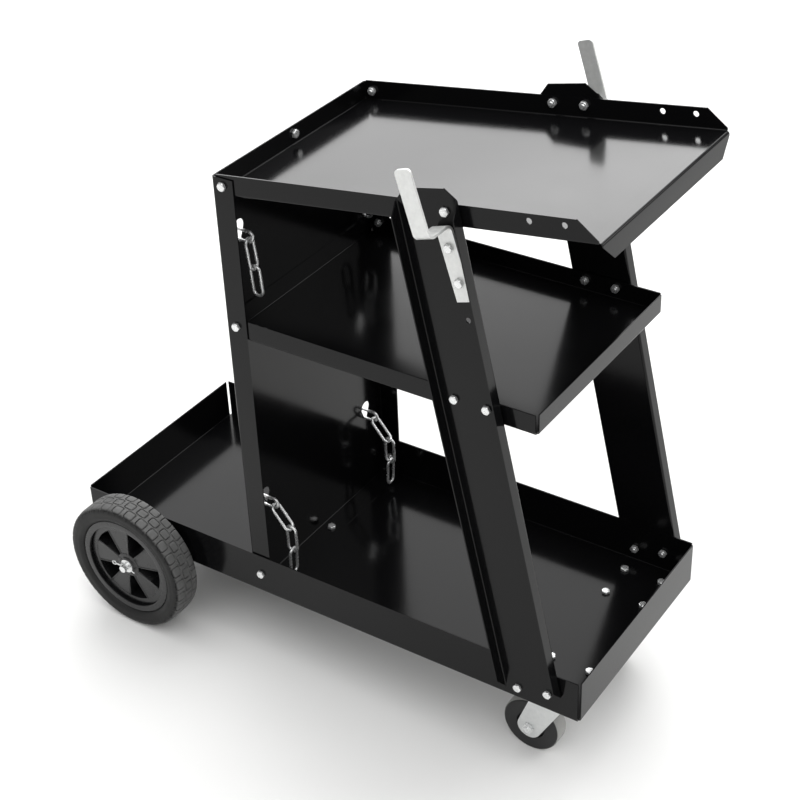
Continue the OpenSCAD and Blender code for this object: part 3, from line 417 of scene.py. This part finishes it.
def tyre_mesh(name, box):
    """Tyre: a closed section carried round the axle, with points close together across the tread. Each
    point's depth comes from its distance to the nearest block, a square with round corners: a groove
    rings every block, and blocks of neighbouring rows stand half a pitch apart. Shoulders are notched
    twice a block, and two thin rings stand on each sidewall."""
    low, high = (np.array(c) for c in box)
    outline = profile(TYRE_SECTION, TYRE_ROUND, TYRE_ROUND_STEPS)
    outline = np.concatenate([outline, outline[:1]])
    step = np.linalg.norm(np.diff(outline, axis=0), axis=1)
    fine = np.where(outline[:-1, 0] > TREAD_FROM, 1 / TREAD_STEP, 1 / SIDE_STEP)
    length = np.concatenate([[0], np.cumsum(step * fine)]) / MM
    at = np.linspace(0, length[-1], round(length[-1]) + 1)[:-1]
    radius, across = np.interp(at, length, outline[:, 0]), np.interp(at, length, outline[:, 1])
    radius, across = radius[:, None], across[:, None]
    top = (high[2] - low[2]) / 2
    turn = np.arange(BLOCKS_ROUND * STEPS_PER_BLOCK)[None] / STEPS_PER_BLOCK
    block_pitch = TAU * top / BLOCKS_ROUND
    gap = np.full((len(at), turn.size), 1.0)
    for row in BLOCK_ROWS:
        dx = np.abs((turn + 0.5 * (row % 2) + 0.5) % 1 - 0.5) * block_pitch - BLOCK_LONG + BLOCK_CORNER
        dy = np.abs(across - row * ROW_PITCH) - BLOCK_WIDE + BLOCK_CORNER
        corner = np.hypot(np.maximum(dx, 0), np.maximum(dy, 0))
        gap = np.minimum(gap, corner + np.minimum(np.maximum(dx, dy), 0) - BLOCK_CORNER)
    groove = smooth(gap, 0, GROOVE_SLOPE) * (1 - smooth(gap, GROOVE_WIDTH - GROOVE_SLOPE, GROOVE_WIDTH))
    notch = 1 - smooth(np.abs((2 * turn + 0.5) % 1 - 0.5) * block_pitch / 2, NOTCH_BOTTOM, NOTCH_TOP)
    on_shoulder = smooth(radius, *SHOULDER_RADII) * smooth(np.abs(across), *SHOULDER_REACH)
    cut = np.where(radius > TREAD_FROM, GROOVE_DEPTH * groove, 0) + NOTCH_DEPTH * notch * on_shoulder
    rings = sum(np.exp(-(((radius - r) / RING_WIDTH) ** 2)) for r in SIDE_RINGS)
    across = across - RING_HEIGHT * (1 - rings) * np.sign(across) * (radius > SIDEWALL_FROM)
    grid = turned(radius - cut, across + 0 * cut, (low + high) / 2, Y, X, turn.size)
    return mesh_of(name, [(grid, True, True)], TYRE_SHARP)


def frame_radius(node):
    """Half of a turned node's height, its radius about the axle."""
    low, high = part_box(node)
    return (high.z - low.z) / 2


# Windows of a rim, and the turn of the first of them from straight ahead
WINDOWS = 5
WINDOW_TURN = math.radians(-3.5)
# Windows reach between these shares of the rim's diameter
WINDOW_OUT, WINDOW_IN = 0.377, 0.105
# Half a window spans this share of its sector at the outer end, and is this wide at the inner end
WINDOW_HALF, WINDOW_TIP = 0.229, 2.6 * MM
# Places along the axle, mm: front and back of the spokes, and the barrel's two edges
RIM_FACE, RIM_BACK, BARREL_IN, BARREL_OUT = 37.0, 11.0, 6.0, 43.0
# Lip along a spoke's edge: height, and the distances from the edge over which it rises and falls
LIP_HEIGHT, LIP_RISE, LIP_FALL = 0.9 * MM, (0.0, 0.7 * MM), (1.6 * MM, 2.8 * MM)
# A spoke's front lies this far behind the rings, and it runs this many mm into the outer one
SPOKE_SUNK, SPOKE_INTO_RING = 0.5 * MM, 1.5
# Points along a spoke, across its front, across its back, and round the turned parts
SPOKE_ROWS, SPOKE_FRONT, SPOKE_REAR, RIM_SIDES = 40, 41, 21, 120


def rim_mesh(name, box, side):
    """Rim: turned barrel, hub, closed back and the rings inside and outside the windows, and five deep
    spokes. A spoke's edges follow the windows' straight sides, so its half angle shrinks with the radius,
    and its front face lies between a raised lip along each edge."""
    low, high = (np.array(c) for c in box)
    middle = (low + high) / 2
    outer = frame_radius("right_rear_rim")
    inside = low[1] if side > 0 else -high[1]
    origin = np.array([middle[0], 0.0, middle[2]])
    axis = Y * side

    def lathe(rounding_mm, outline_mm):
        """A closed outline in mm turned about the axle, its places counted from the rim's inner end."""
        outline = profile(outline_mm, rounding_mm)
        return turned(outline[:, 0], outline[:, 1] + inside, origin, axis, X, RIM_SIDES), True, True

    r = outer / MM
    window_out, window_in = 2 * r * WINDOW_OUT, 2 * r * WINDOW_IN
    parts = [
        # Barrel with an outer and an inner lip
        lathe(1.2, [(r - 3, BARREL_IN + 3), (r - 3, BARREL_OUT - 3), (r - 9, BARREL_OUT - 3.5),
                    (r - 9.5, BARREL_OUT), (r, BARREL_OUT), (r, BARREL_IN), (r - 8, BARREL_IN),
                    (r - 8, BARREL_IN + 3)]),
        # Ring outside the windows, stepped down from the barrel
        lathe(0.9, [(r - 2, RIM_BACK), (r - 2, RIM_FACE + 2.5), (r - 5, RIM_FACE + 2.5),
                    (r - 7.5, RIM_FACE + 0.2), (window_out, RIM_FACE), (window_out, RIM_BACK)]),
        # Back that closes the windows
        lathe(0.4, [(9, RIM_BACK - 2.5), (9, RIM_BACK + 0.5), (r - 2, RIM_BACK + 0.5),
                    (r - 2, RIM_BACK - 2.5)]),
        # Disc and boss round the axle
        lathe(0.8, [(5.1, 0.2), (12, 0.2), (12, RIM_BACK), (window_in + 3, RIM_BACK),
                    (window_in + 3, RIM_FACE), (13.5, RIM_FACE + 0.6), (12, 39), (8, 39.2),
                    (5.1, 39.2)]),
    ]
    s = np.linspace(window_in, window_out + SPOKE_INTO_RING, SPOKE_ROWS) * MM
    half_out = window_out * MM * math.sin(TAU / WINDOWS * WINDOW_HALF)
    width = WINDOW_TIP + (half_out - WINDOW_TIP) * (s / MM - window_in) / (window_out - window_in)
    edge = math.pi / WINDOWS - np.arcsin(np.clip(width / s, 0, 0.99))
    across = np.concatenate([np.linspace(-1, 1, SPOKE_FRONT), np.linspace(1, -1, SPOKE_REAR)])
    front = np.arange(len(across)) < SPOKE_FRONT
    from_edge = (1 - np.abs(across))[None] * (edge * s)[:, None]
    lip = LIP_HEIGHT * smooth(from_edge, *LIP_RISE) * (1 - smooth(from_edge, *LIP_FALL))
    height = np.where(front[None], RIM_FACE * MM + lip - SPOKE_SUNK, RIM_BACK * MM)
    for k in range(WINDOWS):
        a = WINDOW_TURN + (k + 0.5) * TAU / WINDOWS + across[None] * edge[:, None]
        spot = (X * np.cos(a)[..., None] + Z * np.sin(a)[..., None]) * s[:, None, None]
        grid = origin + spot + axis * (height + inside)[..., None]
        parts.append((capped(grid), False, True))
    return mesh_of(name, parts)


# Split pin: radius of its half wires, half the distance between them, and radius of the eye with the
# share by which it is flattened
PIN_WIRE, PIN_APART, PIN_EYE, PIN_EYE_FLAT = 0.8 * MM, 0.7 * MM, 3.2 * MM, 0.85
# Shares of half its length from its middle: back to the legs' start and to the eye's middle, and
# forward to where the legs part
PIN_START, PIN_EYE_AT, PIN_SPLAY_FROM = 0.62, 0.8, 0.35
# Each leg's side with the share at which it ends, and how far it moves aside on its way once they part
PIN_LEGS, PIN_SPLAY = ((1.0, 0.72), (-1.0, 1.0)), 0.3
# Points along a leg, round its eye, and round the wire
PIN_ROWS, PIN_EYE_ROWS, PIN_SIDES = 48, 40, 12


def cotter_mesh(name, box):
    """Split pin: from the eye two wires run side by side through the axle, and beyond it each turns aside
    by about 17 degrees. One leg is shorter than the other, and each end narrows over its last points."""
    low, high = (np.array(c) for c in box)
    middle, reach = (low + high) / 2, np.linalg.norm((high - low)[[0, 2]]) / 2
    t = np.linspace(0, 1, PIN_ROWS)
    grids = []
    for hand, share in PIN_LEGS:
        x = -PIN_START * reach + t * (PIN_START + share) * reach
        z = hand * (PIN_APART + PIN_SPLAY * np.maximum(x - PIN_SPLAY_FROM * reach, 0))
        path = middle + x[:, None] * TRAY_FORWARD + z[:, None] * TRAY_UP
        radius = PIN_WIRE * np.sqrt(np.clip(1 - np.abs(2 * t - 1) ** 40, 0.02, 1))
        grids.append((capped(tube(path, radius, PIN_SIDES, closed=False)), False, True))
    a = np.arange(PIN_EYE_ROWS) * TAU / PIN_EYE_ROWS
    ring = np.cos(a)[:, None] * TRAY_FORWARD + PIN_EYE_FLAT * np.sin(a)[:, None] * TRAY_UP
    eye = middle - PIN_EYE_AT * reach * TRAY_FORWARD + PIN_EYE * ring
    grids.append((tube(eye, np.full(PIN_EYE_ROWS, PIN_WIRE), PIN_SIDES), True, True))
    return mesh_of(name, grids)


# The rubber turns from black to the grey of painted light on the tread between these radii, mm
PAINTED_LIGHT_MM = 92.0, 94.5

tyre_low, tyre_high = (np.array(c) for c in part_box("right_rear_tyre"))
# Painted light: the tyres' tread is drawn a lighter grey than their sidewalls
painted_lit_tread(RUBBER, (tyre_low + tyre_high) / 2, *PAINTED_LIGHT_MM)
for side, sign in SIDES.items():
    piece(f"{side}_lugged_tyre", tyre_mesh(f"{side}_lugged_tyre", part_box(f"{side}_rear_tyre")),
          RUBBER, f"{side}_rear_tyre")
    piece(f"{side}_spoked_rim", rim_mesh(f"{side}_spoked_rim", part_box(f"{side}_rear_rim"), sign),
          NYLON, f"{side}_rear_rim")
    piece(f"{side}_split_pin", cotter_mesh(f"{side}_split_pin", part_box(f"{side}_cotter_pin")),
          BRIGHT_ZINC, f"{side}_cotter_pin")
    rounded_copy(f"{side}_axle_washer", BRIGHT_ZINC, WASHER_EDGE)
rounded_copy("inner_axle_washers", BRIGHT_ZINC, WASHER_EDGE)
rounded_copy("rear_axle", BRIGHT_ZINC, AXLE_EDGE)


# Hexagon fasteners

# Points round a fastener
HEX_SIDES = 48
# A bolt's head from the top down: (radius as a share of the width over flats, share of its height)
HEAD_ROWS = [(0, 1.0), (0.36, 1.0), (0.455, 0.985), (0.49, 0.93), (0.525, 0.86), (0.56, 0.78), (0.6, 0.7),
             (0.6, 0.12), (0.475, 0.08), (0.46, 0.0)]
# The same for a nut, from one face to the other
NUT_ROWS = [(0.46, 0.0), (0.5, 0.06), (0.55, 0.14), (0.6, 0.22), (0.6, 0.78), (0.55, 0.86), (0.5, 0.94),
            (0.46, 1.0)]
# Thread: first ring from the bolt's end, distance between rings and root as a share of the radius
THREAD_LEAD, THREAD_STEP, THREAD_ROOT = 0.6 * MM, 0.5 * MM, 0.88
# Radius of an M6 shank
SHANK = 3 * MM
# Edges of a fastener that turn by more degrees than this stay sharp
HEX_SHARP = 30
# Points beyond this share of the widest reach are corners of the hexagon
AT_CORNER = 0.99
# A hexagon further than this from the fastener's middle is a bolt's head
OFF_MIDDLE = 0.01 * MM


def hex_radius(angle, flats):
    """Distance of a hexagon's side from its middle, by the angle from a corner."""
    return flats / 2 / np.cos((angle % (TAU / 6)) - TAU / 12)


def fastener_places(node):
    """Middle point, axis, direction of a corner, width over flats, the hexagon's stretch along the axis
    and the far end of each fastener in a node. The axis is the one of the cart's own three directions
    about which its corners spread evenly, and points to a bolt's head. The hexagon is its widest
    stretch."""
    found = []
    for p in loose_parts(node):
        mid = (p.min(0) + p.max(0)) / 2
        spread = []
        for axis in (Y, TRAY_FORWARD, TRAY_UP):
            flat = (p - mid) - np.outer((p - mid) @ axis, axis)
            values = np.linalg.eigvalsh(flat.T @ flat)
            spread.append((values[2] - values[1]) / values[2])
        axis = (Y, TRAY_FORWARD, TRAY_UP)[int(np.argmin(spread))]
        along = (p - mid) @ axis
        flat = (p - mid) - np.outer(along, axis)
        reach = np.linalg.norm(flat, axis=1)
        corners = reach > reach.max() * AT_CORNER
        head = along[corners]
        start = flat[corners][0] / np.linalg.norm(flat[corners][0])
        if head.mean() < -OFF_MIDDLE:
            axis, along, head = -axis, -along, -head
        found.append({"origin": mid, "axis": axis, "start": start, "flats": reach.max() * math.sqrt(3),
                      "head": (head.min(), head.max()), "end": along.min()})
    return found


def bolt_grid(f, shank):
    """Hexagon bolt as one closed surface: a flat top, the cone that trims the hexagon's corners, its
    sides, a washer face, and a shank that thread rings up to the head."""
    low, high = f["head"]
    flats, height = f["flats"], high - low
    full = hex_radius(np.arange(HEX_SIDES) * TAU / HEX_SIDES, flats)
    radius = [np.minimum(full, flats * r) for r, _ in HEAD_ROWS]
    along = [low + height * h for _, h in HEAD_ROWS]
    thread = np.arange(f["end"] + THREAD_LEAD, low, THREAD_STEP)[::-1]
    for k, z in enumerate(thread):
        radius.append(np.full(HEX_SIDES, shank * (1.0 if k % 2 else THREAD_ROOT)))
        along.append(z)
    for r in (0.8, 0.0):
        radius.append(np.full(HEX_SIDES, shank * r))
        along.append(f["end"])
    grid = turned(np.array(radius), np.array(along), f["origin"], f["axis"], f["start"], HEX_SIDES)
    return grid, False, True


def nut_grid(f, bore):
    """Hexagon nut as a closed ring: bore, faces, and corners trimmed by a cone at both ends."""
    low, high = f["head"]
    flats, height = f["flats"], high - low
    full = hex_radius(np.arange(HEX_SIDES) * TAU / HEX_SIDES, flats)
    hole = np.full(HEX_SIDES, bore)
    radius = [hole] + [np.minimum(full, flats * r) for r, _ in NUT_ROWS] + [hole]
    along = [low] + [low + height * h for _, h in NUT_ROWS] + [high]
    grid = turned(np.array(radius), np.array(along), f["origin"], f["axis"], f["start"], HEX_SIDES)
    return grid, True, True


for group in ("frame", "hook", "caster"):
    for kind, grid in (("bolts", bolt_grid), ("nuts", nut_grid)):
        node = f"{group}_{kind}"
        parts = [grid(f, SHANK) for f in fastener_places(node)]
        mesh = mesh_of(node, parts, HEX_SHARP)
        piece(f"{group}_hex_{kind}", mesh, BRIGHT_ZINC, node)


# Chains

# Weld of a link: half its length along the wire, and the share by which it swells the wire
WELD_LENGTH, WELD_SWELL = 1.6 * MM, 0.12
# The drawn wire is this share of the solid's
WIRE_SHARE = 0.985
# Points round the wire, along a bend and along a straight
WIRE_SIDES, BEND_POINTS, STRAIGHT_POINTS = 16, 15, 16


def link_grid(points):
    """Welded chain link: a round wire on two straights and two half circles, whose weld in the middle of
    one straight is a little thicker. The link's size and directions are measured on its solid. Which
    straight has the weld depends on the sign that the decomposition gives one direction."""
    mid = points.mean(0)
    long, wide, thin = np.linalg.svd(points - mid, full_matrices=False)[2]
    reach = [np.ptp((points - mid) @ v) for v in (long, wide, thin)]
    wire = reach[2] / 2
    bend, half = reach[1] / 2 - wire, reach[0] / 2 - reach[1] / 2
    a = np.linspace(-math.pi / 2, math.pi / 2, BEND_POINTS)
    arc = np.stack([half + bend * np.cos(a), bend * np.sin(a)], -1)
    t = np.linspace(0, 1, STRAIGHT_POINTS + 2)[1:-1, None]
    side = np.array([half, bend]) * (1 - t) + np.array([-half, bend]) * t
    loop = np.concatenate([arc, side, -arc, -side])
    weld = np.exp(-((loop[:, 0] / WELD_LENGTH) ** 2)) * (loop[:, 1] > 0)
    path = mid + loop[:, :1] * long + loop[:, 1:] * wide
    return tube(path, wire * (WIRE_SHARE + WELD_SWELL * weld), WIRE_SIDES), True, True


for node in frame["nodes"]:
    if "chain" in node:
        links = [link_grid(p) for p in loose_parts(node)]
        piece(node + "_welded", mesh_of(node, links), BRIGHT_ZINC, node)


# Casters

# Half width of a caster wheel and rounding of its corners, mm
CASTER_HALF, CASTER_ROUND = 12.0, 0.9
# Points round a caster wheel
CASTER_SIDES = 96


def caster_wheel_mesh(name, box, rows):
    """Part of a caster wheel, turned about its axle from an outline in shares of the wheel's radius and
    half width."""
    low, high = (np.array(c) for c in box)
    middle, radius = (low + high) / 2, (high[2] - low[2]) / 2
    outline = profile(np.array(rows) * [radius / MM, CASTER_HALF], CASTER_ROUND)
    grid = turned(outline[:, 0], outline[:, 1], middle, Y, X, CASTER_SIDES)
    return mesh_of(name, [(grid, True, True)])


# Closed outlines as (share of the wheel's radius, share of its half width)
CORE = [(0.103, 1.1), (0.2, 1.1), (0.21, 0.62), (0.485, 0.62), (0.5, 0.99), (0.93, 0.99), (0.972, 0.93),
        (0.972, -0.93), (0.93, -0.99), (0.5, -0.99), (0.485, -0.62), (0.21, -0.62), (0.2, -1.1),
        (0.103, -1.1)]
TREAD = [(0.95, 0.88), (0.985, 0.88), (1.0, 0.7), (1.0, -0.7), (0.985, -0.88), (0.95, -0.88)]

for side in SIDES:
    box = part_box(f"{side}_caster_wheel")
    piece(f"{side}_caster_core", caster_wheel_mesh(f"{side}_caster_core", box, CORE), CASTER_CORE,
          f"{side}_caster_wheel")
    piece(f"{side}_caster_tread", caster_wheel_mesh(f"{side}_caster_tread", box, TREAD), CASTER_TREAD,
          f"{side}_caster_wheel")
    rounded_copy(f"{side}_caster_fork", PRESSED_ZINC, PRESSED_EDGE)
    rounded_copy(f"{side}_caster_plate", PRESSED_ZINC, PLATE_EDGE)
    rounded_copy(f"{side}_caster_kingpin", BRIGHT_ZINC, RIVET_EDGE)
    rounded_copy(f"{side}_caster_axle", BRIGHT_ZINC, RIVET_EDGE)
    balls = frame["nodes"][f"{side}_caster_balls"]
    balls.data.materials.clear()
    balls.data.materials.append(BRIGHT_ZINC)


# Floor, light and camera

# Half the side of the floor, far wider than the picture
FLOOR_HALF = 20.0
floor_mesh = bpy.data.meshes.new("studio_floor")
floor_corners = [(FLOOR_HALF * x, FLOOR_HALF * y, 0) for x, y in ((-1, -1), (1, -1), (1, 1), (-1, 1))]
floor_mesh.from_pydata(floor_corners, [], [(0, 1, 2, 3)])
floor = bpy.data.objects.new("studio_floor", floor_mesh)
bpy.context.scene.collection.objects.link(floor)
paper = {"Base Color": linear("e9e9e8"), "Roughness": 0.9, "Specular IOR Level": 0.2}
floor_mesh.materials.append(new_material("white_studio_floor", paper)[0])

# White light from all sides, weaker than the softboxes
SKY_STRENGTH = 0.35
world = bpy.data.worlds.new("white_studio")
world.use_nodes = True
sky = world.node_tree.nodes["Background"]
sky.inputs["Color"].default_value = linear("ffffff")
sky.inputs["Strength"].default_value = SKY_STRENGTH
bpy.context.scene.world = world


def looking(back):
    """Rotation whose Z axis points along back and whose Y axis is as near to up as it can be."""
    z = back / np.linalg.norm(back)
    x = np.cross(Z, z)
    x /= np.linalg.norm(x)
    y = np.cross(z, x)
    return Matrix([(*v,) for v in np.stack([x, y, z], -1)]).to_4x4()


def softbox(name, place, target, width, height, brightness):
    """A rectangular area light at a place, facing a target. Its wattage is brightness * pi * area."""
    light = bpy.data.lights.new(name, "AREA")
    light.shape, light.size, light.size_y = "RECTANGLE", width, height
    light.energy = brightness * math.pi * width * height
    made = bpy.data.objects.new(name, light)
    bpy.context.scene.collection.objects.link(made)
    back = np.array(place, float) - np.array(target, float)
    made.matrix_world = Matrix.Translation(place) @ looking(back)


softbox("back_wall_softbox", (-2.68, 4.96, 1.65), (0, 0, 1.4), 4.2, 3.1, 3.2)
softbox("overhead_softbox", (-1.8, 2.8, 4.2), (0, 0, 0.4), 5.5, 5.5, 2.15)
softbox("ceiling_softbox", (0.8, -1.4, 5.0), (0.0, -0.3, 0.0), 8.0, 8.0, 1.8)
softbox("tread_softbox", (2.2, 1.9, 2.4), (-0.25, -0.2, 0.1), 1.8, 1.8, 3.0)

# Place and angles fitted to corners, bolts and wheel ellipses measured on the photo
CAMERA_PLACE = (1.005, -1.481, 1.614)
CAMERA_YAW, CAMERA_PITCH, CAMERA_ROLL = (math.radians(v) for v in (33.38, 34.97, -0.17))
LENS_MM, SENSOR_MM = 76.6, 36.0
camera_data = bpy.data.cameras.new("photo_camera")
camera_data.lens, camera_data.sensor_width = LENS_MM, SENSOR_MM
camera = bpy.data.objects.new("photo_camera", camera_data)
bpy.context.scene.collection.objects.link(camera)
camera.matrix_world = (
    Matrix.Translation(CAMERA_PLACE)
    @ Matrix.Rotation(CAMERA_YAW, 4, "Z")
    @ Matrix.Rotation(math.pi / 2 - CAMERA_PITCH, 4, "X")
    @ Matrix.Rotation(CAMERA_ROLL, 4, "Z")
)
bpy.context.scene.camera = camera
bpy.context.scene.view_settings.view_transform = "Standard"
